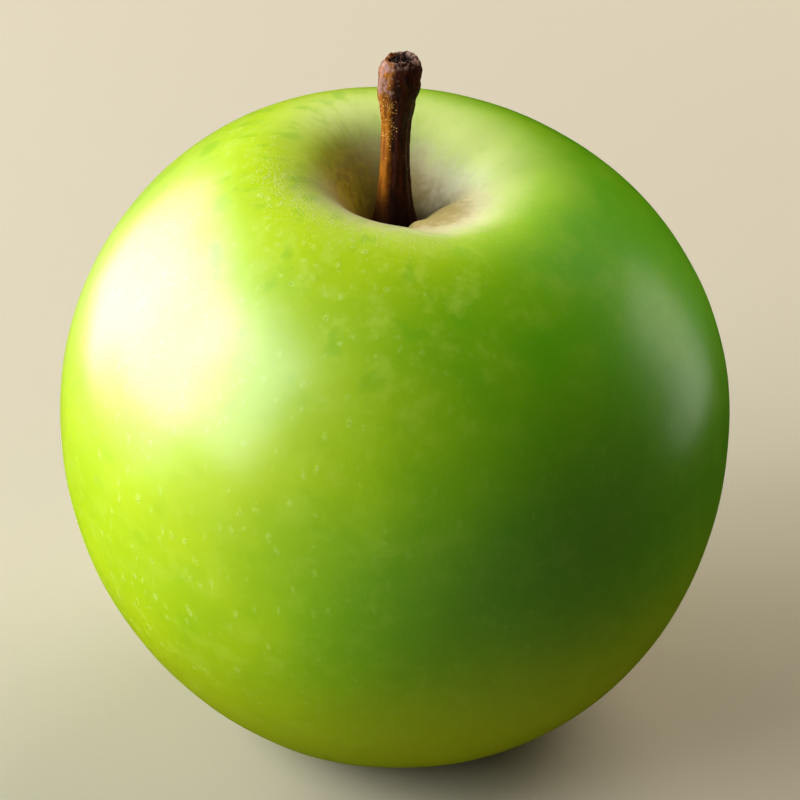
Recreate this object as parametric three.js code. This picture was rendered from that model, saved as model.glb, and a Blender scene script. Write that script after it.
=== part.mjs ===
// A green apple standing on its base with its stalk up. Millimetres, +Z up.
//
// The apple is one grown solid (skin and flesh). The woody stalk stands in a socket at the bottom of the
// stem cavity. Underneath, five dried sepals and a tuft of dried stamens sit in the calyx basin.
// Shapes are worked out about the apple's widest plane, and the finished group is lifted onto z = 0.
import * as THREE from "three";

const { degToRad, lerp, smootherstep } = THREE.MathUtils;

// ---- Driving dimensions -------------------------------------------------------------------------

const HALF_WIDTH = 38; // radius of the widest plane
const CROWN = { rise: 36.0, roundness: 2.07 }; // dome above the widest plane; roundness 2 is an ellipse
const BASE = { rise: 40.6, roundness: 2.03 }; // dome below it
const BLEND = 0.35; // cosine of the polar angle where one dome has fully become the other

// One shoulder stands higher than the other, and the cheek opposite hangs fuller.
const SHOULDER_SKEW = { lift: 2.1, towards: degToRad(131) };
const CHEEK_SKEW = { drop: 4.3, towards: degToRad(-52) };

// Stem cavity: a round-bottomed funnel, wider towards one side.
const CAVITY = { depth: 15.9, width: 8.5, power: 1.6, uneven: 0.22, widest: degToRad(-38) };
const CAVITY_FOLD = { depth: 0.5, radius: 4.5, reach: 3, azimuth: degToRad(-4), spread: degToRad(12) };
const CAVITY_RAMP = { azimuth: degToRad(-38), even: degToRad(22), gone: degToRad(55) };
const RAMP_INNER = { height: 3.0, radius: 4.2, reach: 4.6 };
const RAMP_OUTER = { height: 0.9, radius: 12, reach: 5 };

// Calyx basin and the five low lobes round it, which the apple stands on.
const BASIN = { depth: 10, width: 9.5 };
const LOBES = { count: 5, height: 0.6, radius: 14, reach: 7, azimuth: degToRad(28) };
const FOOT_FLAT = 0.35; // how much the lobes are flattened where they stand

const GAP = 0.3; // clearance between neighbouring pieces
const SOCKET = { radius: 2.9, floor: 20.0 };
const CALYX_TUBE = { radius: 1.9, ceiling: -27.2 };

// Stalk, as [height above the widest plane, radius] from its foot to the rim of the broken end.
const STALK_SECTIONS = [
  [SOCKET.floor + GAP, SOCKET.radius - GAP],
  [24.0, 2.5],
  [25.6, 2.2],
  [27.9, 1.9],
  [31.0, 1.6],
  [34.0, 1.52],
  [37.0, 1.66],
  [38.5, 1.95],
  [40.0, 2.28],
  [41.3, 2.4],
  [42.5, 2.3],
  [43.4, 1.95],
  [43.9, 1.55],
];
const BROKEN_END = { radius: 1.1, depth: 0.6 };
const STALK_BEND = { start: 30, reach: 14, sideways: 0.65, backwards: 0.6 };

const SEPALS = { count: 5, length: 6, halfWidth: 1.6, halfThickness: 0.25, azimuth: degToRad(64) };
const SEPAL_ROOT = { radius: 3.0, height: -31.8 };
const SEPAL_LEAN = degToRad(10);
const SEPAL_CURL = degToRad(75);
const TUFT = { radius: CALYX_TUBE.radius - GAP, top: CALYX_TUBE.ceiling - GAP, length: 5.6 };

const AROUND = 60;
const SKIN_ROWS = 46;
const END_CROWDING = 0.5; // rows are closer together near the cavity and the basin

const material = (color, roughness) => new THREE.MeshStandardMaterial({ color, roughness, metalness: 0 });

// ---- Helpers ------------------------------------------------------------------------------------

const bump = (value, centre, reach) => Math.exp(-(((value - centre) / reach) ** 2));

function angleBetween(a, b) {
  const turn = (a - b) / (2 * Math.PI);
  return (turn - Math.round(turn)) * 2 * Math.PI;
}

// A closed body turned from a profile of [radius, height] that starts and ends on the axis, lowest first.
// place(radius, height, azimuth, row) gives each corner its final position.
function turned(profile, around, place) {
  const points = profile.map(([radius, height]) => new THREE.Vector2(radius, height));
  const geometry = new THREE.LatheGeometry(points, around);
  const position = geometry.attributes.position;
  for (let corner = 0; corner < position.count; corner += 1) {
    const row = corner % profile.length;
    const step = Math.floor(corner / profile.length) % around;
    const [radius, height] = profile[row];
    const spot = place(radius, height, (step / around) * 2 * Math.PI, row);
    position.setXYZ(corner, spot.x, spot.y, spot.z);
  }
  geometry.computeVertexNormals();
  return geometry;
}

const upright = (radius, height, azimuth) =>
  new THREE.Vector3(radius * Math.cos(azimuth), radius * Math.sin(azimuth), height);

// ---- Fruit --------------------------------------------------------------------------------------

// Radius and undisturbed height of the skin at a polar angle measured from the crown.
function dome(polar) {
  const crownShare = smootherstep(Math.cos(polar), -BLEND, BLEND);
  const rise = lerp(BASE.rise, CROWN.rise, crownShare);
  const roundness = lerp(BASE.roundness, CROWN.roundness, crownShare);
  const across = (Math.sin(polar) / HALF_WIDTH) ** roundness;
  const along = (Math.abs(Math.cos(polar)) / rise) ** roundness;
  const reach = (across + along) ** (-1 / roundness);
  return [reach * Math.sin(polar), reach * Math.cos(polar)];
}

function crownRelief(radius, azimuth) {
  const uneven = CAVITY.uneven * Math.cos(azimuth - CAVITY.widest);
  const width = CAVITY.width * (1 + uneven);
  const funnel = -CAVITY.depth * Math.exp(-((radius / width) ** CAVITY.power));
  const fold =
    -CAVITY_FOLD.depth *
    bump(angleBetween(azimuth, CAVITY_FOLD.azimuth), 0, CAVITY_FOLD.spread) *
    bump(radius, CAVITY_FOLD.radius, CAVITY_FOLD.reach);
  const raised = RAMP_INNER.height * bump(radius, RAMP_INNER.radius, RAMP_INNER.reach);
  const lowered = RAMP_OUTER.height * bump(radius, RAMP_OUTER.radius, RAMP_OUTER.reach);
  const aside = Math.abs(angleBetween(azimuth, CAVITY_RAMP.azimuth));
  const ramp = (raised - lowered) * (1 - smootherstep(aside, CAVITY_RAMP.even, CAVITY_RAMP.gone));
  return funnel + fold + ramp;
}

function baseRelief(radius, azimuth, down) {
  const basin = BASIN.depth * bump(radius, 0, BASIN.width);
  const lobe = LOBES.height * Math.cos(LOBES.count * (azimuth - LOBES.azimuth));
  return basin - lobe * smootherstep(down, 0.6, 0.9) * bump(radius, LOBES.radius, LOBES.reach);
}

function skinHeight(radius, height, azimuth, polar) {
  const up = Math.max(Math.cos(polar), 0);
  const down = Math.max(-Math.cos(polar), 0);
  const outward = radius / HALF_WIDTH;
  const shoulder = SHOULDER_SKEW.lift * Math.cos(azimuth - SHOULDER_SKEW.towards) * up * outward;
  const cheek = CHEEK_SKEW.drop * Math.cos(azimuth - CHEEK_SKEW.towards) * down * (1 - down ** 2) * outward;
  const relief = up > 0 ? crownRelief(radius, azimuth) : baseRelief(radius, azimuth, down);
  return height + shoulder - cheek + relief;
}

const socketPolar = Math.asin(SOCKET.radius / CROWN.rise);
const tubePolar = Math.PI - Math.asin(CALYX_TUBE.radius / BASE.rise);

function skinPolars() {
  return Array.from({ length: SKIN_ROWS + 1 }, (_, row) => {
    const share = row / SKIN_ROWS;
    const crowded = share - (END_CROWDING * Math.sin(2 * Math.PI * share)) / (2 * Math.PI);
    return lerp(tubePolar, socketPolar, crowded);
  });
}

// The height that the lobes are flattened at: a little above the lowest point of the skin.
function standingHeight(polars) {
  let lowest = Infinity;
  for (const polar of polars) {
    const [radius, height] = dome(polar);
    for (let step = 0; step < AROUND; step += 1) {
      const azimuth = (step / AROUND) * 2 * Math.PI;
      lowest = Math.min(lowest, skinHeight(radius, height, azimuth, polar));
    }
  }
  return lowest + FOOT_FLAT;
}

const polars = skinPolars();
const ground = standingHeight(polars);

function fruitGeometry() {
  const skin = polars.map(dome);
  const tubeRadius = skin[0][0];
  const socketRadius = skin[skin.length - 1][0];
  const tube = [
    [0, CALYX_TUBE.ceiling],
    [tubeRadius, CALYX_TUBE.ceiling],
  ];
  const socket = [
    [socketRadius, SOCKET.floor],
    [0, SOCKET.floor],
  ];
  const place = (radius, height, azimuth, row) => {
    const polar = polars[row - tube.length];
    if (polar === undefined) return upright(radius, height, azimuth);
    const surface = skinHeight(radius, height, azimuth, polar);
    return upright(radius, Math.max(surface, ground), azimuth);
  };
  return turned([...tube, ...skin, ...socket], AROUND, place);
}

// ---- Stalk --------------------------------------------------------------------------------------

function stalkGeometry() {
  const [footHeight] = STALK_SECTIONS[0];
  const [rimHeight] = STALK_SECTIONS[STALK_SECTIONS.length - 1];
  const pith = rimHeight - BROKEN_END.depth;
  const profile = [
    [0, footHeight],
    ...STALK_SECTIONS.map(([height, radius]) => [radius, height]),
    [BROKEN_END.radius, pith],
    [0, pith],
  ];
  return turned(profile, 24, (radius, height, azimuth) => {
    const along = Math.max(height - STALK_BEND.start, 0) / STALK_BEND.reach;
    const spot = upright(radius, height, azimuth);
    spot.x += STALK_BEND.sideways * along ** 2;
    spot.y += STALK_BEND.backwards * along ** 2;
    return spot;
  });
}

// ---- Dried flower parts in the basin ------------------------------------------------------------

// A flat pointed leaf that hangs down from its root and curls outwards, lying in the x, z plane.
function sepalGeometry() {
  const stations = 8;
  const profile = Array.from({ length: stations + 1 }, (_, station) => {
    const share = station / stations;
    return [Math.sin(Math.PI * share ** 0.6) * (1 - 0.35 * share), share];
  });
  profile[0][0] = 0;
  profile[stations][0] = 0;
  return turned(profile, 12, (girth, share, azimuth) => {
    const turn = SEPAL_LEAN + SEPAL_CURL * share;
    const distance = SEPALS.length * share;
    const across = SEPALS.halfWidth * girth * Math.cos(azimuth);
    const through = SEPALS.halfThickness * girth * Math.sin(azimuth);
    const middle = (SEPAL_LEAN + turn) / 2;
    return new THREE.Vector3(
      distance * Math.sin(middle) + through * Math.cos(turn),
      across,
      -distance * Math.cos(middle) + through * Math.sin(turn),
    );
  });
}

function tuftGeometry() {
  const tip = TUFT.top - TUFT.length;
  const profile = [
    [0, tip],
    [0.5 * TUFT.radius, tip + 0.2],
    [0.75 * TUFT.radius, tip + 0.4 * TUFT.length],
    [0.6 * TUFT.radius, tip + 0.7 * TUFT.length],
    [TUFT.radius, TUFT.top - 0.4],
    [TUFT.radius, TUFT.top],
    [0, TUFT.top],
  ];
  return turned(profile, 12, upright);
}

// ---- Assembly -----------------------------------------------------------------------------------

function piece(name, geometry, finish) {
  const mesh = new THREE.Mesh(geometry, finish);
  mesh.name = name;
  return mesh;
}

const skinFinish = material(0x86b81c, 0.35);
const barkFinish = material(0x5a3018, 0.75);
const driedFinish = material(0x6b5a3a, 0.9);

const apple = new THREE.Group();
apple.add(piece("fruit", fruitGeometry(), skinFinish));
apple.add(piece("stalk", stalkGeometry(), barkFinish));
apple.add(piece("stamen_tuft", tuftGeometry(), driedFinish));
for (let index = 0; index < SEPALS.count; index += 1) {
  const azimuth = SEPALS.azimuth + (index / SEPALS.count) * 2 * Math.PI;
  const sepal = piece(`sepal_${index + 1}`, sepalGeometry(), driedFinish);
  sepal.position.copy(upright(SEPAL_ROOT.radius, SEPAL_ROOT.height, azimuth));
  sepal.rotation.z = azimuth;
  apple.add(sepal);
}
apple.position.z = -ground;

const group = new THREE.Group();
group.add(apple);

export default group;
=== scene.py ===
import math

import bpy
import numpy as np
from mathutils import Matrix, Vector, noise


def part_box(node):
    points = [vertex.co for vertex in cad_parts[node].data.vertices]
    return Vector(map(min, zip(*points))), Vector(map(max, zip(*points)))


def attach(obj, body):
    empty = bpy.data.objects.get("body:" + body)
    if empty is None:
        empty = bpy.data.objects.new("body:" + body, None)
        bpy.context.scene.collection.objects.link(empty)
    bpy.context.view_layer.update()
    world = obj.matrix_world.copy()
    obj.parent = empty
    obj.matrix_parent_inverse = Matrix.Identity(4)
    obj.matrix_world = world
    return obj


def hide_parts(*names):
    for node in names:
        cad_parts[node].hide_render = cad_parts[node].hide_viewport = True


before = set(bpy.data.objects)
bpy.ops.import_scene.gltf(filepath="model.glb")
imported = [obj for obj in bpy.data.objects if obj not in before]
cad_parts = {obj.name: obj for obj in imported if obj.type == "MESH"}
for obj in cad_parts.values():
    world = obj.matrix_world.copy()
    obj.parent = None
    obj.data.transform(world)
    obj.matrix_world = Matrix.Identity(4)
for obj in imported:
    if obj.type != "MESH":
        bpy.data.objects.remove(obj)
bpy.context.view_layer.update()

# Shapes are worked out in millimetres about the apple's widest plane, with the crown up, and are then
# lifted to the frame's height. The fruit's formula is the CAD part's own, with finer relief on top.

MM = 0.001

HALF_WIDTH = 38.0
CROWN = dict(rise=36.0, roundness=2.07)
BASE = dict(rise=40.6, roundness=2.03)
BLEND = 0.35
SHOULDER_SKEW = dict(lift=2.1, towards=math.radians(131))
CHEEK_SKEW = dict(drop=4.3, towards=math.radians(-52))
CAVITY = dict(depth=15.9, width=8.5, power=1.6, uneven=0.22, widest=math.radians(-38))
CAVITY_FOLD = dict(depth=0.5, radius=4.5, reach=3.0, azimuth=math.radians(-4), spread=math.radians(12))
CAVITY_RAMP = dict(azimuth=math.radians(-38), even=math.radians(22), gone=math.radians(55))
RAMP_INNER = dict(height=3.0, radius=4.2, reach=4.6)
RAMP_OUTER = dict(height=0.9, radius=12.0, reach=5.0)
BASIN = dict(depth=10.0, width=9.5)
LOBES = dict(count=5, height=0.6, radius=14.0, reach=7.0, azimuth=math.radians(28))
FOOT_ROUNDING = 0.12
CALYX_TUBE = dict(radius=1.9, depth=3.8)

# Where the skin's marks lie.
# SUNWARD points out of the cheek facing the key light, made limer partly as riper skin and partly as painted
# light.
SUNWARD = np.array([-0.86, -0.25, 0.44])
# SHADEWARD points out of the cheek in shade, made deeper green as painted shade.
SHADEWARD = np.array([0.68, -0.60, -0.42])
FRONT_LIP = dict(azimuth=math.radians(-98), spread=math.radians(60))
RUSSET_RAMP = dict(azimuth=math.radians(-38), spread=math.radians(45))
# A cavity wall made paler, partly pale russet and partly painted light.
LIT_PALE_WALL = dict(azimuth=math.radians(15), spread=math.radians(110))
# The cavity wall turned away from the key light, darkened as painted shade.
SHADED_WALL = dict(azimuth=math.radians(160), spread=math.radians(70))

fruit_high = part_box("fruit")[1]


# ---- Small tools --------------------------------------------------------------------------------

def bump(value, centre, reach):
    return np.exp(-(((value - centre) / reach) ** 2))


def smoother(value, low, high):
    share = np.clip((value - low) / (high - low), 0.0, 1.0)
    return share**3 * (share * (share * 6 - 15) + 10)


def angle_between(a, b):
    turn = (a - b) / (2 * math.pi)
    return (turn - np.round(turn)) * 2 * math.pi


def sector(azimuth, place):
    """1 in the middle of a named sector, falling to 0 on either side."""
    return bump(angle_between(azimuth, place["azimuth"]), 0, place["spread"])


def soft_max(a, b, blend):
    return (a + b + np.sqrt((a - b) ** 2 + blend**2)) / 2


def noise_at(points, size, offset, octaves=1):
    """Smooth noise of about -1 to 1 at each point; size is the length of its lumps in millimetres."""
    flat = np.asarray(points, float).reshape(-1, 3) / size + offset
    found = np.zeros(len(flat))
    weight, total, step = 1.0, 0.0, 1.0
    for _ in range(octaves):
        found += weight * np.array([noise.noise(Vector(p * step)) for p in flat])
        total += weight
        weight, step = weight * 0.5, step * 2.03
    return (found / total).reshape(np.shape(points)[:-1])


def grains_at(points, size, offset):
    """Rounded grains: 1 at the middle of each, 0 between them; size is their spacing in millimetres."""
    flat = np.asarray(points, float).reshape(-1, 3) / size + offset
    nearest = np.array([noise.voronoi(Vector(p))[0][0] for p in flat])
    return np.clip(1 - nearest / 0.6, 0, 1).reshape(np.shape(points)[:-1])


def around(count, start=0.0):
    return start + np.arange(count) * 2 * math.pi / count


def lofted(name, rings, uv_rows=None):
    """A closed body skinned over rings of points, in millimetres, lowest ring first."""
    rows, columns, _ = rings.shape
    ends = np.stack([rings[0].mean(0), rings[-1].mean(0)])
    points = np.concatenate([rings.reshape(-1, 3), ends]) * MM
    row, column = np.meshgrid(np.arange(rows - 1), np.arange(columns), indexing="ij")
    here = row * columns + column
    beside = row * columns + (column + 1) % columns
    quads = np.stack([here, beside, beside + columns, here + columns], -1).reshape(-1, 4)
    each = np.arange(columns)
    after = (each + 1) % columns
    last = (rows - 1) * columns
    low_fan = np.stack([after, each, np.full(columns, rows * columns)], -1)
    high_fan = np.stack([last + each, last + after, np.full(columns, rows * columns + 1)], -1)
    mesh = bpy.data.meshes.new(name)
    mesh.from_pydata(points.tolist(), [], quads.tolist() + low_fan.tolist() + high_fan.tolist())
    mesh.polygons.foreach_set("use_smooth", np.ones(len(mesh.polygons), bool))
    if uv_rows is not None:
        low, high = uv_rows[row.ravel()], uv_rows[row.ravel() + 1]
        left, right = column.ravel() / columns, (column.ravel() + 1) / columns
        quad_uv = np.stack([left, low, right, low, right, high, left, high], -1).reshape(-1, 2)
        left, right, middle = each / columns, (each + 1) / columns, (each + 0.5) / columns
        floor, top = np.full(columns, uv_rows[0]), np.full(columns, uv_rows[-1])
        low_uv = np.stack([right, floor, left, floor, middle, 0 * floor], -1).reshape(-1, 2)
        high_uv = np.stack([left, top, right, top, middle, 0 * top + 1], -1).reshape(-1, 2)
        layer = mesh.uv_layers.new(name="OFBake")
        layer.uv.foreach_set("vector", np.concatenate([quad_uv, low_uv, high_uv]).ravel())
    mesh.update()
    piece = bpy.data.objects.new(name, mesh)
    bpy.context.scene.collection.objects.link(piece)
    return piece


def store(piece, name, values):
    """Keeps one number per point of the piece, for its material. The two end points copy a neighbour."""
    values = np.asarray(values, np.float32)
    ends = [values[0].mean(), values[-1].mean()]
    attribute = piece.data.attributes.new(name, "FLOAT", "POINT")
    attribute.data.foreach_set("value", np.concatenate([values.ravel(), ends]).astype(np.float32))


def hand_over(piece, material, node):
    piece.data.materials.append(material)
    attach(piece, "root")
    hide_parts(node)


# ---- Materials ----------------------------------------------------------------------------------

class Nodes:
    """Builds a material's nodes with little text."""

    def __init__(self, name):
        self.material = bpy.data.materials.new(name)
        self.material.use_nodes = True
        self.tree = self.material.node_tree
        self.shader = self.tree.nodes["Principled BSDF"]

    def plug(self, socket, value):
        if isinstance(value, bpy.types.NodeSocket):
            self.tree.links.new(value, socket)
        else:
            socket.default_value = value

    def add(self, kind, **inputs):
        node = self.tree.nodes.new(kind)
        for key, value in inputs.items():
            self.plug(node.inputs[key.replace("_", " ")], value)
        return node

    def math(self, operation, a, b, clamp=False):
        node = self.tree.nodes.new("ShaderNodeMath")
        node.operation = operation
        node.use_clamp = clamp
        for socket, value in zip(node.inputs, (a, b)):
            self.plug(socket, value)
        return node.outputs[0]

    def times(self, a, b):
        return self.math("MULTIPLY", a, b)

    def ramp(self, value, low, high, to_low=0.0, to_high=1.0):
        node = self.tree.nodes.new("ShaderNodeMapRange")
        node.interpolation_type = "SMOOTHSTEP"
        keys = ("Value", "From Min", "From Max", "To Min", "To Max")
        for key, item in zip(keys, (value, low, high, to_low, to_high)):
            self.plug(node.inputs[key], item)
        return node.outputs["Result"]

    def mix(self, share, a, b):
        node = self.tree.nodes.new("ShaderNodeMix")
        node.data_type = "RGBA"
        self.plug(node.inputs[0], share)
        for socket, value in zip((node.inputs[6], node.inputs[7]), (a, b)):
            self.plug(socket, value if isinstance(value, bpy.types.NodeSocket) else (*value, 1.0))
        return node.outputs[2]

    def attribute(self, name):
        node = self.tree.nodes.new("ShaderNodeAttribute")
        node.attribute_name = name
        return node.outputs["Fac"]

    def place(self, scale=(1, 1, 1)):
        """Object position in millimetres, stretched by scale."""
        coords = self.tree.nodes.new("ShaderNodeTexCoord")
        node = self.tree.nodes.new("ShaderNodeVectorMath")
        node.operation = "MULTIPLY"
        self.tree.links.new(coords.outputs["Object"], node.inputs[0])
        node.inputs[1].default_value = [s / MM for s in scale]
        return node.outputs[0]

    def noise(self, vector, size, detail, roughness=0.5):
        """Noise with lumps of the given size, in the vector's own units, of 0 to 1 about 0.5."""
        node = self.add("ShaderNodeTexNoise", Vector=vector, Scale=1 / size, Detail=detail,
                        Roughness=roughness)
        return node.outputs["Fac"]

    def wander(self, vector, size, detail, roughness, reach):
        """Noise about zero, up to half the reach either way."""
        return self.times(self.math("SUBTRACT", self.noise(vector, size, detail, roughness), 0.5), reach)

    def cells(self, vector, size):
        """Distance from the middle of each cell, in cells, and a colour that is each cell's own."""
        node = self.add("ShaderNodeTexVoronoi", Vector=vector, Scale=1 / size)
        return node.outputs["Distance"], node.outputs["Color"]

    def chance(self, cell_colour):
        """One even random number of 0 to 1 for each cell."""
        return self.add("ShaderNodeSeparateColor", Color=cell_colour).outputs[0]

    def bumped(self, height, distance, strength, normal=None):
        node = self.add("ShaderNodeBump", Strength=strength, Distance=distance * MM, Height=height)
        if normal is not None:
            self.plug(node.inputs["Normal"], normal)
        return node.outputs["Normal"]

    def finish(self, **inputs):
        for key, value in inputs.items():
            self.plug(self.shader.inputs[key.replace("_", " ")], value)
        return self.material


def skin_material():
    # Some colours here stand in for light: the deeper green, the dark umbers, the moss and the gap brown are
    # painted shade, the olive is painted warm bounce light, and the cream, straw and bone are partly painted
    # light.
    green, lime, pale = (0.115, 0.390, 0.001), (0.440, 0.590, 0.003), (0.480, 0.640, 0.060)
    shade_green, bounce_olive, lit_cream = (0.080, 0.250, 0.001), (0.400, 0.450, 0.001), (0.660, 0.750, 0.230)
    pore_halo, pore_pit = (0.640, 0.780, 0.200), (0.120, 0.160, 0.010)
    # The two pale stain colours on this line are partly russet and partly painted light on the shaded cavity
    # walls; the third, a dark olive, is painted shade.
    lit_straw, lit_bone, shaded_olive = (0.660, 0.650, 0.310), (0.760, 0.730, 0.440), (0.200, 0.215, 0.001)
    tan, dun = (0.360, 0.250, 0.080), (0.670, 0.560, 0.340)
    # Russet in painted shade, for the cavity wall turned away from the key light.
    shaded_russet_dark, shaded_russet_light = (0.150, 0.090, 0.001), (0.270, 0.185, 0.004)
    gilt, gap_shade_brown = (0.700, 0.640, 0.330), (0.100, 0.050, 0.010)

    n = Nodes("apple_skin")
    place = n.place()
    grain = n.add("ShaderNodeCombineXYZ", X=n.attribute("grain_x"), Y=n.attribute("grain_y"),
                  Z=n.attribute("grain_z")).outputs[0]
    ripe_and_lit = n.attribute("ripe_and_lit")
    streaky = n.attribute("streaky")
    russet = n.attribute("russet")

    # Ground colour: green to lime towards the sun and the key light, partly a riper cheek and partly painted
    # light; painted shade as deeper green on the shaded cheek; painted warm bounce light as olive towards
    # the base; a pale cavity wall, partly pale russet and partly painted light.
    broad = n.ramp(n.noise(place, 13.0, 2.0), 0.35, 0.65, -0.09, 0.09)
    colour = n.mix(n.math("ADD", ripe_and_lit, broad, clamp=True), green, lime)
    # Painted shade: deeper green on the shaded cheek.
    colour = n.mix(n.attribute("shade_green"), colour, shade_green)
    # Painted warm bounce light: olive on the underside.
    colour = n.mix(n.attribute("bounce_olive"), colour, bounce_olive)
    # Partly pale russet, partly painted light on a cavity wall that lies in shade.
    colour = n.mix(n.attribute("pale_and_lit"), colour, lit_cream)

    # Pale and dim streaks that run down from the cavity.
    streaks = n.ramp(n.noise(grain, 2.2, 3.0, 0.6), 0.46, 0.70)
    colour = n.mix(n.times(streaks, n.times(streaky, 0.50)), colour, pale)
    dim_streaks = n.ramp(n.noise(grain, 2.8, 2.0, 0.5), 0.46, 0.30)
    colour = n.mix(n.times(dim_streaks, n.times(streaky, 0.34)), colour, green)

    # Pores: a pale halo round a dark pit, in cells that noise has shaken out of line.
    shaken = n.add("ShaderNodeVectorMath", Vector=n.place((1, 1, 0.62)))
    shake = n.add("ShaderNodeTexNoise", Vector=place, Scale=1.4, Detail=2.0)
    n.plug(shaken.inputs[1], shake.outputs["Color"])
    pores, pore_colour = n.cells(shaken.outputs[0], 1.25)
    shown = n.ramp(n.chance(pore_colour), 0.15, 0.90)
    shown = n.times(shown, n.attribute("porous"))
    halo = n.times(n.ramp(pores, 0.36, 0.10), shown)
    halo = n.times(halo, n.ramp(n.noise(place, 0.35, 2.0, 0.6), 0.30, 0.60, 0.35, 1.0))
    colour = n.mix(n.times(halo, 0.40), colour, pore_halo)
    pit = n.times(n.ramp(pores, 0.085, 0.03), shown)
    colour = n.mix(n.times(pit, 0.75), colour, pore_pit)

    # Russet in the cavity, frayed at its edge, with gold flecks along the lip; on the wall turned away from
    # the key light it is darkened as painted shade.
    fleck, fleck_colour = n.cells(place, 0.20)
    fleck_shown = n.chance(fleck_colour)
    fleck_shown = n.ramp(n.math("ADD", fleck_shown, n.attribute("speckle")), 0.97, 1.05)
    flecks = n.times(n.ramp(fleck, 0.50, 0.28), fleck_shown)
    shade_wall = n.attribute("shade_wall")
    frayed = n.wander(grain, 1.6, 4.0, 0.55, 0.45)
    frayed = n.times(frayed, n.math("SUBTRACT", 1.0, n.times(shade_wall, 0.65)))
    ragged = n.math("ADD", russet, frayed)
    scurf = n.ramp(n.noise(place, 0.9, 4.0, 0.55), 0.30, 0.70)
    stained = n.times(n.ramp(ragged, 0.05, 0.55), n.ramp(russet, 0.0, 0.2))
    russeted = n.times(n.ramp(ragged, 0.28, 0.80), n.ramp(russet, 0.1, 0.3))
    # Painted shade: on the wall turned away from the key light the stain turns dark olive.
    stain = n.mix(shade_wall, n.mix(scurf, lit_straw, lit_bone), shaded_olive)
    colour = n.mix(n.times(stained, 0.85), colour, stain)
    inner = n.mix(n.ramp(n.math("ADD", russet, n.times(scurf, 0.2)), 0.60, 1.10), dun, tan)
    # Painted shade: the inner russet is darker on that wall.
    inner = n.mix(shade_wall, inner, n.mix(scurf, shaded_russet_dark, shaded_russet_light))
    colour = n.mix(n.times(russeted, 0.9), colour, inner)
    colour = n.mix(n.times(flecks, 0.65), colour, gilt)
    # Painted shade: dark brown on the cavity floor round the stalk.
    colour = n.mix(n.attribute("stalk_gap_shade"), colour, gap_shade_brown)

    normal = n.bumped(n.noise(place, 1.6, 3.0, 0.55), 0.05, 0.5)
    normal = n.bumped(n.noise(place, 0.30, 2.0, 0.6), 0.02, 0.35, normal)
    normal = n.bumped(n.math("SUBTRACT", n.times(halo, 0.4), pit), 0.07, 0.6, normal)
    normal = n.bumped(n.math("ADD", flecks, n.times(scurf, russeted)), 0.05, 0.6, normal)
    roughness = n.ramp(n.noise(place, 0.9, 3.0, 0.6), 0.3, 0.7, 0.40, 0.47)
    roughness = n.math("ADD", roughness, n.times(russeted, 0.12))
    return n.finish(
        Base_Color=colour, Roughness=roughness, Normal=normal, Specular_IOR_Level=0.12,
        Coat_Weight=n.attribute("waxy"), Coat_Roughness=0.29, Coat_IOR=1.6,
        Subsurface_Weight=0.12, Subsurface_Scale=0.004, Subsurface_Radius=(0.6, 1.0, 0.15),
    )


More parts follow.
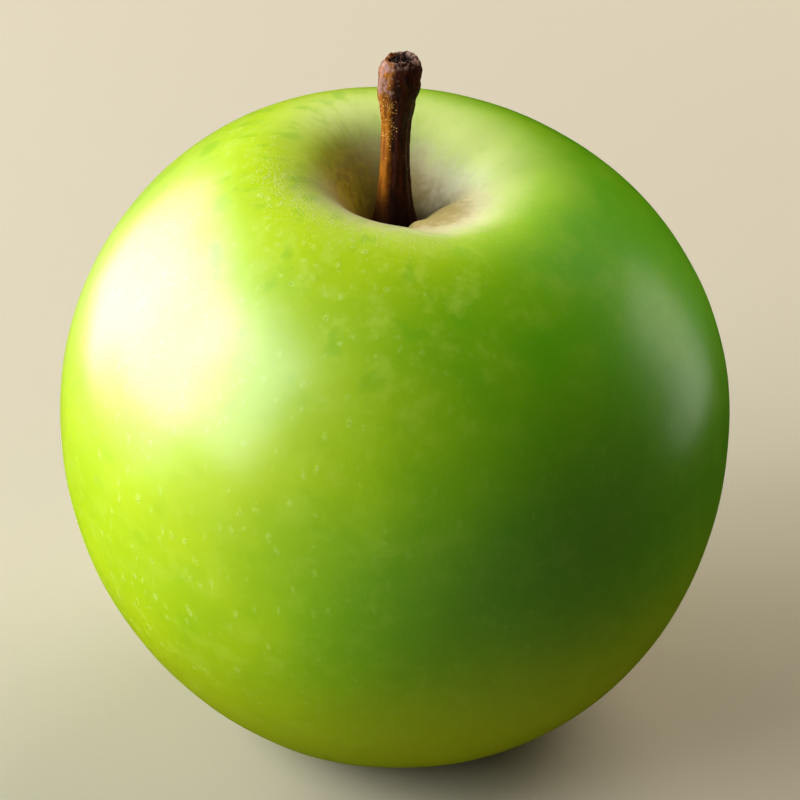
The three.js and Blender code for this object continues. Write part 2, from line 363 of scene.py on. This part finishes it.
def bark_material():
    # The black and maroon are the bark in painted shade; the tawny and orange below are the bark in painted
    # light.
    shaded_black, shaded_maroon = (0.011, 0.0020, 0.001), (0.052, 0.0085, 0.002)
    lit_orange, lit_tawny, gold = (0.360, 0.115, 0.004), (0.170, 0.045, 0.003), (0.760, 0.420, 0.110)
    pink, rim_pink, pith_brown = (0.360, 0.190, 0.170), (0.430, 0.250, 0.190), (0.260, 0.110, 0.060)
    # The first of these stands for the real dark pith and for painted shade in the bark's hollows; the
    # second is painted shade on the foot.
    black_and_shade, foot_shade_black = (0.008, 0.002, 0.001), (0.010, 0.002, 0.001)

    n = Nodes("stalk_bark")
    place = n.place()
    along = n.place((1, 1, 0.16))

    # Fibres, with painted shade on the side of the stalk turned away from the key light and painted light on
    # the side turned to it.
    fibres = n.ramp(n.noise(along, 0.55, 4.0, 0.6), 0.34, 0.66)
    shade = n.mix(fibres, shaded_black, shaded_maroon)
    lit_bark = n.mix(fibres, lit_tawny, lit_orange)
    lit_side = n.math("ADD", n.attribute("lit_side"), n.wander(place, 1.2, 3.0, 0.6, 0.8))
    colour = n.mix(n.ramp(lit_side, 0.25, 0.85), shade, lit_bark)

    # Gold grains in clusters, and a pinkish bloom on the knob's lit side, partly real bloom and partly
    # painted sheen.
    spots, spot_colour = n.cells(place, 0.23)
    chosen = n.chance(spot_colour)
    clusters = n.ramp(n.noise(place, 0.9, 3.0, 0.6), 0.35, 0.60, 0.2, 1.0)
    chosen = n.ramp(n.math("ADD", chosen, n.times(clusters, n.attribute("grainy"))), 0.95, 1.05)
    grains = n.times(n.ramp(spots, 0.45, 0.22), chosen)
    colour = n.mix(n.times(grains, 0.85), colour, gold)
    bloom_and_sheen = n.math("ADD", n.attribute("bloom_and_sheen"), n.wander(place, 0.8, 3.0, 0.6, 1.8))
    bloom_and_sheen = n.ramp(bloom_and_sheen, 0.55, 0.95)
    colour = n.mix(n.times(bloom_and_sheen, 0.8), colour, pink)

    # Painted shade in the bark's hollows and on the foot down in the cavity, and the crumbled dark pith in
    # the broken end.
    colour = n.mix(n.attribute("hollow_shade"), colour, black_and_shade)
    colour = n.mix(n.times(n.attribute("foot_shade"), 0.85), colour, foot_shade_black)
    crumbs = n.ramp(n.noise(place, 0.22, 3.0, 0.7), 0.52, 0.68)
    colour = n.mix(n.attribute("pith"), colour, n.mix(crumbs, black_and_shade, pith_brown))
    rim = n.ramp(n.noise(place, 0.5, 3.0, 0.6), 0.42, 0.62)
    colour = n.mix(n.times(n.attribute("rim"), rim), colour, rim_pink)

    normal = n.bumped(n.noise(along, 0.22, 3.0, 0.6), 0.05, 0.6)
    normal = n.bumped(n.math("ADD", n.noise(place, 0.10, 3.0, 0.6), grains), 0.04, 0.6, normal)
    roughness = n.ramp(n.noise(place, 0.3, 2.0, 0.5), 0.3, 0.7, 0.55, 0.75)
    return n.finish(Base_Color=colour, Roughness=roughness, Normal=normal, Specular_IOR_Level=0.10)


def dried_material(name, dark, light):
    dust = (0.42, 0.38, 0.28)
    n = Nodes(name)
    place = n.place()
    mottle = n.ramp(n.noise(place, 0.5, 4.0, 0.65), 0.34, 0.66)
    colour = n.mix(mottle, dark, light)
    down = n.ramp(n.noise(place, 0.12, 2.0, 0.6), 0.52, 0.68)
    colour = n.mix(n.times(down, 0.5), colour, dust)
    normal = n.bumped(n.noise(place, 0.18, 3.0, 0.65), 0.05, 0.7)
    return n.finish(Base_Color=colour, Roughness=0.85, Normal=normal, Sheen_Weight=0.3, Sheen_Roughness=0.5)


# ---- Fruit --------------------------------------------------------------------------------------

def dome(polar):
    crown_share = smoother(np.cos(polar), -BLEND, BLEND)
    rise = BASE["rise"] + (CROWN["rise"] - BASE["rise"]) * crown_share
    roundness = BASE["roundness"] + (CROWN["roundness"] - BASE["roundness"]) * crown_share
    across = (np.sin(polar) / HALF_WIDTH) ** roundness
    along = (np.abs(np.cos(polar)) / rise) ** roundness
    reach = (across + along) ** (-1 / roundness)
    return reach * np.sin(polar), reach * np.cos(polar)


def crown_relief(radius, azimuth):
    width = CAVITY["width"] * (1 + CAVITY["uneven"] * np.cos(azimuth - CAVITY["widest"]))
    funnel = -CAVITY["depth"] * np.exp(-((radius / width) ** CAVITY["power"]))
    fold_share = sector(azimuth, CAVITY_FOLD)
    fold = -CAVITY_FOLD["depth"] * fold_share * bump(radius, CAVITY_FOLD["radius"], CAVITY_FOLD["reach"])
    aside = np.abs(angle_between(azimuth, CAVITY_RAMP["azimuth"]))
    raised = RAMP_INNER["height"] * bump(radius, RAMP_INNER["radius"], RAMP_INNER["reach"])
    lowered = RAMP_OUTER["height"] * bump(radius, RAMP_OUTER["radius"], RAMP_OUTER["reach"])
    ramp = (raised - lowered) * (1 - smoother(aside, CAVITY_RAMP["even"], CAVITY_RAMP["gone"]))
    return funnel + (fold + ramp) * smoother(radius, 0.0, 2.5)


def base_relief(radius, azimuth, down):
    basin = BASIN["depth"] * bump(radius, 0, BASIN["width"])
    lobe = LOBES["height"] * np.cos(LOBES["count"] * (azimuth - LOBES["azimuth"]))
    lobes = lobe * smoother(down, 0.6, 0.9) * bump(radius, LOBES["radius"], LOBES["reach"])
    return basin - lobes


def skin_points(polar, azimuth):
    """Points of the skin, in millimetres about the widest plane, before the base is flattened."""
    radius, height = dome(polar)
    up = np.maximum(np.cos(polar), 0)
    down = np.maximum(-np.cos(polar), 0)
    outward = radius / HALF_WIDTH
    shoulder = SHOULDER_SKEW["lift"] * np.cos(azimuth - SHOULDER_SKEW["towards"]) * up * outward
    cheek = CHEEK_SKEW["drop"] * np.cos(azimuth - CHEEK_SKEW["towards"]) * down * (1 - down**2) * outward
    relief = np.where(up > 0, crown_relief(radius, azimuth), base_relief(radius, azimuth, down))
    height = height + shoulder - cheek + relief
    return np.stack([radius * np.cos(azimuth), radius * np.sin(azimuth), height], -1)


def even_polars(rows):
    """Polar angles, base first, whose rings lie evenly along the skin but closer in the two hollows."""
    steps, side = 4001, math.radians(200)
    polar = np.linspace(math.pi, 0, steps)[1:-1]
    meridian = skin_points(polar, np.full(polar.shape, side))
    radius = np.hypot(meridian[:, 0], meridian[:, 1])
    closeness = 1 + 1.6 * bump(radius, 0, 11)
    step = np.linalg.norm(np.diff(meridian, axis=0), axis=1) * (closeness[1:] + closeness[:-1]) / 2
    travelled = np.concatenate([[0], np.cumsum(step)])
    return np.interp(np.linspace(0, travelled[-1], rows), travelled, polar)


def lift():
    """How far the widest plane stands above the floor: the top of the CAD part's flesh sets it."""
    polar, azimuth = np.meshgrid(np.linspace(0.02, 1.2, 400), around(120), indexing="ij")
    return fruit_high.z / MM - skin_points(polar, azimuth)[..., 2].max()


def uneven_flesh(rings, azimuths, down):
    """The flesh is a little uneven all over, ribbed where it draws in to the calyx, and flat underfoot."""
    radius = np.hypot(rings[..., 0], rings[..., 1])
    swell = 0.16 * noise_at(rings, 17.0, 3.1) + 0.05 * noise_at(rings, 6.0, 9.4)
    outward = rings / np.linalg.norm(rings, axis=-1, keepdims=True)
    rings = rings + outward * (swell * smoother(radius, 3, 9))[..., None]
    ribs = 0.35 * np.cos(10 * azimuths + 0.7) + 0.2 * np.cos(17 * azimuths + 2.0)
    rings[..., 2] += np.where(down, ribs * bump(radius, 5.5, 3.0), 0)
    tube = CALYX_TUBE["depth"] * (1 - smoother(radius, 1.1, CALYX_TUBE["radius"] + 0.6))
    rings[..., 2] += np.where(down, tube, 0)
    rings[..., 2] += widest_plane
    rings[..., 2] = np.where(down, soft_max(rings[..., 2], 0.0, FOOT_ROUNDING), rings[..., 2])
    return rings, radius, outward


def skin_marks(piece, radius, azimuths, outward, up, down):
    """Where each mark of the skin lies, one number per point for each."""
    facing = (outward * SUNWARD).sum(-1)
    crown = smoother(outward[..., 2], 0.72, 0.93)
    # Partly painted light: limer on the cheek facing the key light and on the crown, besides riper skin
    # there.
    store(piece, "ripe_and_lit", np.clip(smoother(facing, -0.15, 1.05) + 0.36 * crown, 0, 1))
    shaded = outward @ SHADEWARD
    # Painted shade: deeper green on the cheek turned away from the lights.
    store(piece, "shade_green", 0.85 * smoother(shaded, 0.36, 0.92))
    # Painted warm bounce light: olive on surfaces that face down.
    store(piece, "bounce_olive", 0.80 * smoother(-outward[..., 2], -0.10, 0.85))
    ringed = np.where(up, smoother(radius, 7, 13) * (1 - 0.6 * smoother(radius, 24, 37)), 0.4)
    store(piece, "streaky", ringed * (0.25 + 0.75 * smoother(facing, 0, 0.6)))
    waxy = 0.25 + 0.75 * smoother(outward[..., 2], -0.45, 0.25)
    store(piece, "waxy", waxy * np.where(up, 0.12 + 0.88 * smoother(radius, 7.5, 14.0), 1))
    store(piece, "porous", 0.15 + 0.85 * smoother(facing, 0.1, 0.8))

    lip = sector(azimuths, FRONT_LIP)
    ramp = sector(azimuths, RUSSET_RAMP)
    russet = np.where(up, 1 - smoother(radius, 2.0, 13.0 + 6.5 * lip + 3.0 * ramp), 0)
    russet = np.where(up, np.clip(russet + 0.15 * ramp * bump(radius, 8.5, 4.0), 0, 1), russet)
    russet = np.where(down, 0.6 * (1 - smoother(radius, 3.0, 8.0)), russet)
    store(piece, "russet", russet)
    # Partly pale russet, partly painted light on a shaded cavity wall.
    pale_and_lit = smoother(sector(azimuths, LIT_PALE_WALL), 0, 0.45) * bump(radius, 10.5, 4.6)
    store(piece, "pale_and_lit", np.where(up, pale_and_lit, 0))
    # Painted shade on the cavity wall turned away from the key light.
    store(piece, "shade_wall", np.where(up, sector(azimuths, SHADED_WALL), 0))
    stipple = 1.05 * bump(radius, 13.7, 2.1) + 0.05 * bump(radius, 16, 4)
    store(piece, "speckle", np.where(up, stipple * smoother(lip, 0, 0.7), 0))
    # Painted shade round the stalk's foot, in the cavity floor.
    store(piece, "stalk_gap_shade", np.where(up, 0.9 * (1 - smoother(radius, 2.3, 5.2)), 0))


def fruit():
    columns, rows = 470, 206
    seam = math.radians(90)
    polars, azimuths = np.meshgrid(even_polars(rows), around(columns, seam), indexing="ij")
    up, down = np.cos(polars) > 0, np.cos(polars) < 0
    rings, radius, outward = uneven_flesh(skin_points(polars, azimuths), azimuths, down)
    piece = lofted("apple_fruit", rings, np.linspace(0, 1, rows + 2)[1:-1])

    # Streaks follow the grain: a space with the azimuth round a circle and the way along the skin up.
    grain_circle, grain_stretch = 20, 0.75
    travelled = np.linalg.norm(np.diff(rings, axis=0), axis=-1)
    length = np.concatenate([np.zeros((1, columns)), np.cumsum(travelled, 0)])
    store(piece, "grain_x", grain_circle * np.cos(azimuths))
    store(piece, "grain_y", grain_circle * np.sin(azimuths))
    store(piece, "grain_z", length * grain_stretch)
    skin_marks(piece, radius, azimuths, outward, up, down)
    hand_over(piece, skin_material(), "fruit")


# ---- Stalk --------------------------------------------------------------------------------------

STALK_SECTIONS = [
    (20.3, 2.90),
    (22.6, 2.85),
    (24.0, 2.50),
    (25.6, 2.20),
    (27.9, 1.90),
    (31.0, 1.60),
    (34.0, 1.52),
    (37.0, 1.66),
    (38.5, 1.95),
    (40.0, 2.28),
    (41.3, 2.40),
    (42.5, 2.30),
    (43.4, 2.05),
    (43.9, 1.75),
]
STALK_BEND = dict(start=30.0, reach=14.0, sideways=0.65, backwards=0.6)
BROKEN_END_DIP = 0.60
KNOB_BULGE_SIDE, RIM_HIGH_SIDE = math.radians(-20), math.radians(-25)
# The knob's sheen and the bark's painted light face the key light; the grains lie on the same side.
BLOOM_SHEEN_SIDE, GRAIN_SIDE, LIT_SIDE = math.radians(205), math.radians(226), math.radians(185)


def smooth_through(knots, at):
    """A smooth curve through (place, value) knots: Catmull-Rom slopes with cubic pieces."""
    place, value = np.array(knots, float).T
    slope = np.gradient(value, place)
    index = np.clip(np.searchsorted(place, at, side="right") - 1, 0, len(place) - 2)
    width = place[index + 1] - place[index]
    share = (at - place[index]) / width
    return (
        (2 * share**3 - 3 * share**2 + 1) * value[index]
        + (share**3 - 2 * share**2 + share) * width * slope[index]
        + (3 * share**2 - 2 * share**3) * value[index + 1]
        + (share**3 - share**2) * width * slope[index + 1]
    )


def turned_to(azimuth, side):
    return np.cos(angle_between(azimuth, side))


def stalk_relief(at, height, azimuths, knob):
    """How far the bark stands out: ridges along the stalk, lumps and warts on the knob, fibres below it."""
    ridges = 0.075 * np.cos(5 * azimuths + 0.16 * height) + 0.05 * np.cos(9 * azimuths - 0.22 * height + 1.3)
    lumps = noise_at(at, 1.5, 2.0, 2)
    warts = grains_at(at, 0.85, 5.0)
    grains = grains_at(at, 0.34, 1.0)
    fibres = noise_at(at * [1, 1, 0.22], 0.42, 7.0, 2)
    out = ridges * (1 - 0.6 * knob) + (0.07 + 0.14 * knob) * lumps
    out = out + (0.03 + 0.07 * knob) * warts + (0.03 + 0.03 * knob) * grains
    out = out + 0.05 * fibres * (1 - knob) - 0.06 * knob
    return out + 0.10 * smoother(height, 38.5, 41.5) * np.cos(azimuths - KNOB_BULGE_SIDE)


def stalk_marks(piece, height, azimuths, side, end, knob, out):
    """Where each mark of the bark lies, one number per point for each."""
    rim_height = STALK_SECTIONS[-1][0]
    store(piece, "pith", end * smoother(0.86 - side, 0.0, 0.22))
    store(piece, "rim", bump(side, 0.93, 0.13) * smoother(height, rim_height - 0.9, rim_height - 0.2))
    # Painted shade on the foot, down in the cavity.
    store(piece, "foot_shade", 1 - smoother(height, 25.5, 31.0))
    # Partly real bloom, partly painted sheen, on the knob's lit side.
    bloom_and_sheen = knob * (0.02 + 0.80 * turned_to(azimuths, BLOOM_SHEEN_SIDE))
    store(piece, "bloom_and_sheen", bloom_and_sheen * smoother(height, 38.8, 40.6) * (1 - end))
    grainy = smoother(height, 31.5, 36.0) * (1 - 0.85 * smoother(height, 39.5, 41.5))
    grainy = grainy * smoother(turned_to(azimuths, GRAIN_SIDE), 0.55, 0.95)
    store(piece, "grainy", 0.88 * grainy)
    # Painted light on the side of the stalk facing the key light, painted shade on the other.
    store(piece, "lit_side", 0.20 + 0.80 * smoother(turned_to(azimuths, LIT_SIDE), 0.05, 0.85))
    # Painted shade in the bark's hollows.
    store(piece, "hollow_shade", np.clip(-2.2 * out, 0, 0.8) * (1 - end))


def stalk():
    columns, rows, end_rows = 200, 270, 34
    azimuth = around(columns)
    rim_height, rim_radius = STALK_SECTIONS[-1]
    heights = np.linspace(STALK_SECTIONS[0][0], rim_height, rows)
    radii = smooth_through(STALK_SECTIONS, heights)
    # The broken end dips from its rim to a rough floor of pith.
    inward = np.linspace(1, 0.02, end_rows + 1)[1:]
    dip = BROKEN_END_DIP * smoother(1 - inward, 0.04, 0.34)
    heights = np.concatenate([heights, rim_height - dip])
    radii = np.concatenate([radii, rim_radius * inward])
    height, azimuths = np.meshgrid(heights, azimuth, indexing="ij")
    radius = np.repeat(radii[:, None], columns, 1)
    side = np.repeat(np.concatenate([np.ones(rows), inward])[:, None], columns, 1)
    at = np.stack([radius * np.cos(azimuths), radius * np.sin(azimuths), height], -1)
    end = np.zeros_like(radius)
    end[rows:] = 1.0

    knob = smoother(height, 37.4, 40.2)
    out = stalk_relief(at, height, azimuths, knob)
    radius = radius + out * smoother(side, 0.3, 1.0)
    crumbs = grains_at(at, 0.36, 8.0)
    torn = noise_at(at, 0.55, 4.0, 3)
    rise = end * (0.55 * crumbs * smoother(0.9 - side, 0.0, 0.4) + 0.22 * torn)
    rim = bump(side, 0.97, 0.10) * smoother(height, rim_height - 1.2, rim_height - 0.1)
    rise = rise + rim * (0.20 * torn - 0.10 + 0.10 * np.cos(azimuths - RIM_HIGH_SIDE))
    height = height + rise

    bend = np.maximum(height - STALK_BEND["start"], 0) / STALK_BEND["reach"]
    rings = np.stack([
        radius * np.cos(azimuths) + STALK_BEND["sideways"] * bend**2,
        radius * np.sin(azimuths) + STALK_BEND["backwards"] * bend**2,
        height + widest_plane,
    ], -1)
    piece = lofted("apple_stalk", rings)
    stalk_marks(piece, height, azimuths, side, end, knob, out)
    hand_over(piece, bark_material(), "stalk")


# ---- Dried calyx --------------------------------------------------------------------------------

SEPALS = dict(count=5, length=6.0, half_width=1.7, azimuth=math.radians(64))
SEPAL_ROOT = dict(radius=2.9, height=-31.4)
FILAMENTS = dict(styles=5, stamens=20, ceiling=-27.9, turn=2.399963)


def sepal(index, material):
    """A dry pointed leaf, hanging from the basin floor and curled outwards, creased along its middle."""
    rows, columns = 44, 40
    share = np.linspace(0.0, 1.0, rows)
    azimuth = around(columns)
    shares, turns = np.meshgrid(share, azimuth, indexing="ij")
    seed = 11.0 * (index + 1)
    lean = math.radians(10 + 6 * math.sin(seed))
    curl = math.radians(75 + 14 * math.cos(1.7 * seed))
    girth = np.sin(math.pi * np.clip(share, 0.004, 0.996) ** 0.6) * (1 - 0.3 * share) + 0.05
    across = SEPALS["half_width"] * girth[:, None] * np.cos(turns)
    width_share = np.cos(turns)
    leaf = np.stack([across, shares * SEPALS["length"], np.full(shares.shape, seed)], -1)
    crumple = noise_at(leaf, 1.1, seed, 2)
    fold = 0.35 * girth[:, None] * width_share**2
    through = 0.16 * girth[:, None] * np.sin(turns) + 0.22 * crumple * shares + fold
    heading = lean + curl * share
    step = SEPALS["length"] / (rows - 1)
    out = np.concatenate([[0], np.cumsum(step * np.sin(heading[:-1]))])
    down = np.concatenate([[0], np.cumsum(step * np.cos(heading[:-1]))])
    x = out[:, None] + through * np.cos(heading)[:, None]
    z = -down[:, None] + through * np.sin(heading)[:, None]
    turn = SEPALS["azimuth"] + index * 2 * math.pi / SEPALS["count"]
    x = x + SEPAL_ROOT["radius"]
    rings = np.stack([
        x * math.cos(turn) - across * math.sin(turn),
        x * math.sin(turn) + across * math.cos(turn),
        z + SEPAL_ROOT["height"] + widest_plane,
    ], -1)
    piece = lofted(f"apple_sepal_{index + 1}", rings)
    hand_over(piece, material, f"sepal_{index + 1}")


def tube_along(path, radii):
    """Rings round a path of points, for a hair-thin filament."""
    columns = 8
    heading = np.gradient(path, axis=0)
    heading /= np.linalg.norm(heading, axis=1, keepdims=True)
    side = np.cross(heading, [0.3, 0.9, 0.1])
    side /= np.linalg.norm(side, axis=1, keepdims=True)
    other = np.cross(heading, side)
    angle = around(columns)
    return path[:, None] + radii[:, None, None] * (
        np.cos(angle)[None, :, None] * side[:, None] + np.sin(angle)[None, :, None] * other[:, None]
    )


def stamens(material):
    """Twenty dried stamens round five styles, tangled in the calyx tube's mouth."""
    parts = []
    for index in range(FILAMENTS["styles"] + FILAMENTS["stamens"]):
        style = index < FILAMENTS["styles"]
        azimuth = index * FILAMENTS["turn"]
        root = 0.35 if style else 0.85 + 0.35 * ((index * 7) % 5) / 5
        tip = (0.6 if style else 1.3) + 0.5 * math.sin(index * 1.9)
        length = 4.4 + 0.8 * math.sin(index * 2.7)
        share = np.linspace(0, 1, 12)
        radius = root + (tip - root) * share**1.5
        turn = azimuth + 0.7 * share * math.sin(index * 1.3)
        path = np.stack([
            radius * np.cos(turn) + 0.12 * np.sin(5 * share + index),
            radius * np.sin(turn) + 0.12 * np.cos(6 * share + index),
            FILAMENTS["ceiling"] - length * share + widest_plane,
        ], -1)
        thick = 0.11 + 0.04 * (not style)
        head = 0.16 * bump(share, 0.94, 0.06)
        radii = thick * (1 - 0.4 * share) + head
        parts.append(lofted(f"filament_{index}", tube_along(path[::-1], radii[::-1])))
    bpy.ops.object.select_all(action="DESELECT")
    for part in parts:
        part.select_set(True)
    bpy.context.view_layer.objects.active = parts[0]
    bpy.ops.object.join()
    parts[0].name = "apple_stamens"
    hand_over(parts[0], material, "stamen_tuft")


# ---- Floor, light and camera --------------------------------------------------------------------

FLOOR = dict(radius=3.0, colour=(0.46, 0.40, 0.31, 1.0), roughness=0.9)

# Each light: where it stands as seen from the apple's middle, how far off in metres, the size of its
# panel in metres, its power in watts and its colour. Panels to the left stand in for one large window.
DAYLIGHT, SKYLIGHT, ROOMLIGHT = (0.93, 1.0, 1.0), (0.62, 0.88, 1.0), (1.0, 0.98, 0.94)
LIGHTS = [
    ("window", (-0.905, 0.115, 0.400), 0.70, (0.48, 0.54), 5.6, DAYLIGHT),
    ("window_near", (-0.79, -0.375, 0.490), 0.80, (0.50, 0.66), 5.8, DAYLIGHT),
    ("window_far", (-0.75, 0.63, 0.20), 0.75, (0.40, 0.56), 3.0, ROOMLIGHT),
    ("window_shine", (-0.90, 0.20, 0.30), 0.68, (0.78, 0.78), 5.2, SKYLIGHT),
    ("back_right", (0.89, 0.43, 0.06), 0.65, (0.30, 0.42), 0.46, (1.0, 1.0, 0.85)),
    ("back_fill", (0.52, 0.62, 0.58), 0.80, (0.70, 0.50), 6.5, (1.0, 0.96, 0.86)),
]
WORLD = dict(colour=(1.0, 0.96, 0.90, 1.0), strength=0.06)

# The distance is in metres; the lens, the sensor and the offset of the aim are in millimetres.
CAMERA = dict(pitch=math.radians(30), distance=0.350, lens=137.8, sensor=36.0)
CAMERA_OFFSET = dict(right=0.585, up=1.47)


def floor():
    n = Nodes("pale_floor")
    n.finish(Base_Color=FLOOR["colour"], Roughness=FLOOR["roughness"])
    bpy.ops.mesh.primitive_circle_add(
        vertices=96, radius=FLOOR["radius"], fill_type="NGON", location=(0, 0, 0),
    )
    piece = bpy.context.object
    piece.name = "floor"
    piece.visible_glossy = False
    piece.data.materials.append(n.material)


def area_light(name, direction, distance, size, power, colour, aim):
    data = bpy.data.lights.new(name, "AREA")
    data.shape = "RECTANGLE"
    data.size, data.size_y = size
    data.energy = power
    data.color = colour
    light = bpy.data.objects.new(name, data)
    bpy.context.scene.collection.objects.link(light)
    place = aim + Vector(direction).normalized() * distance
    light.location = place
    light.rotation_euler = (aim - place).to_track_quat("-Z", "Y").to_euler()
    return light


def lights():
    middle = Vector((0, 0, widest_plane * MM))
    made = {}
    for name, direction, distance, size, power, colour in LIGHTS:
        made[name] = area_light(name, direction, distance, size, power, colour, middle)
    made["window_shine"].visible_diffuse = False
    made["back_fill"].visible_glossy = False
    world = bpy.data.worlds.new("soft_room")
    bpy.context.scene.world = world
    world.use_nodes = True
    background = world.node_tree.nodes["Background"]
    background.inputs["Color"].default_value = WORLD["colour"]
    background.inputs["Strength"].default_value = WORLD["strength"]
    world.cycles_visibility.glossy = False


def camera():
    pitch = CAMERA["pitch"]
    data = bpy.data.cameras.new("camera")
    data.sensor_width = CAMERA["sensor"]
    data.lens = CAMERA["lens"]
    right = Vector((1, 0, 0))
    up = Vector((0, math.sin(pitch), math.cos(pitch)))
    back = right.cross(up)
    middle = Vector((0, 0, widest_plane * MM))
    aim = middle + right * CAMERA_OFFSET["right"] * MM + up * CAMERA_OFFSET["up"] * MM
    spot = aim + back * CAMERA["distance"]
    made = bpy.data.objects.new("camera", data)
    bpy.context.scene.collection.objects.link(made)
    made.matrix_world = Matrix.Translation(spot) @ Matrix((right, up, back)).transposed().to_4x4()
    bpy.context.scene.camera = made


# ---- The scene ----------------------------------------------------------------------------------

widest_plane = lift()
camera()
lights()
floor()
fruit()
stalk()
dried_sepal = dried_material("dried_sepal", dark=(0.075, 0.050, 0.022), light=(0.250, 0.200, 0.100))
for number in range(SEPALS["count"]):
    sepal(number, dried_sepal)
stamens(dried_material("dried_stamen", dark=(0.040, 0.022, 0.010), light=(0.190, 0.120, 0.050)))

bpy.context.scene.view_settings.view_transform = "Standard"
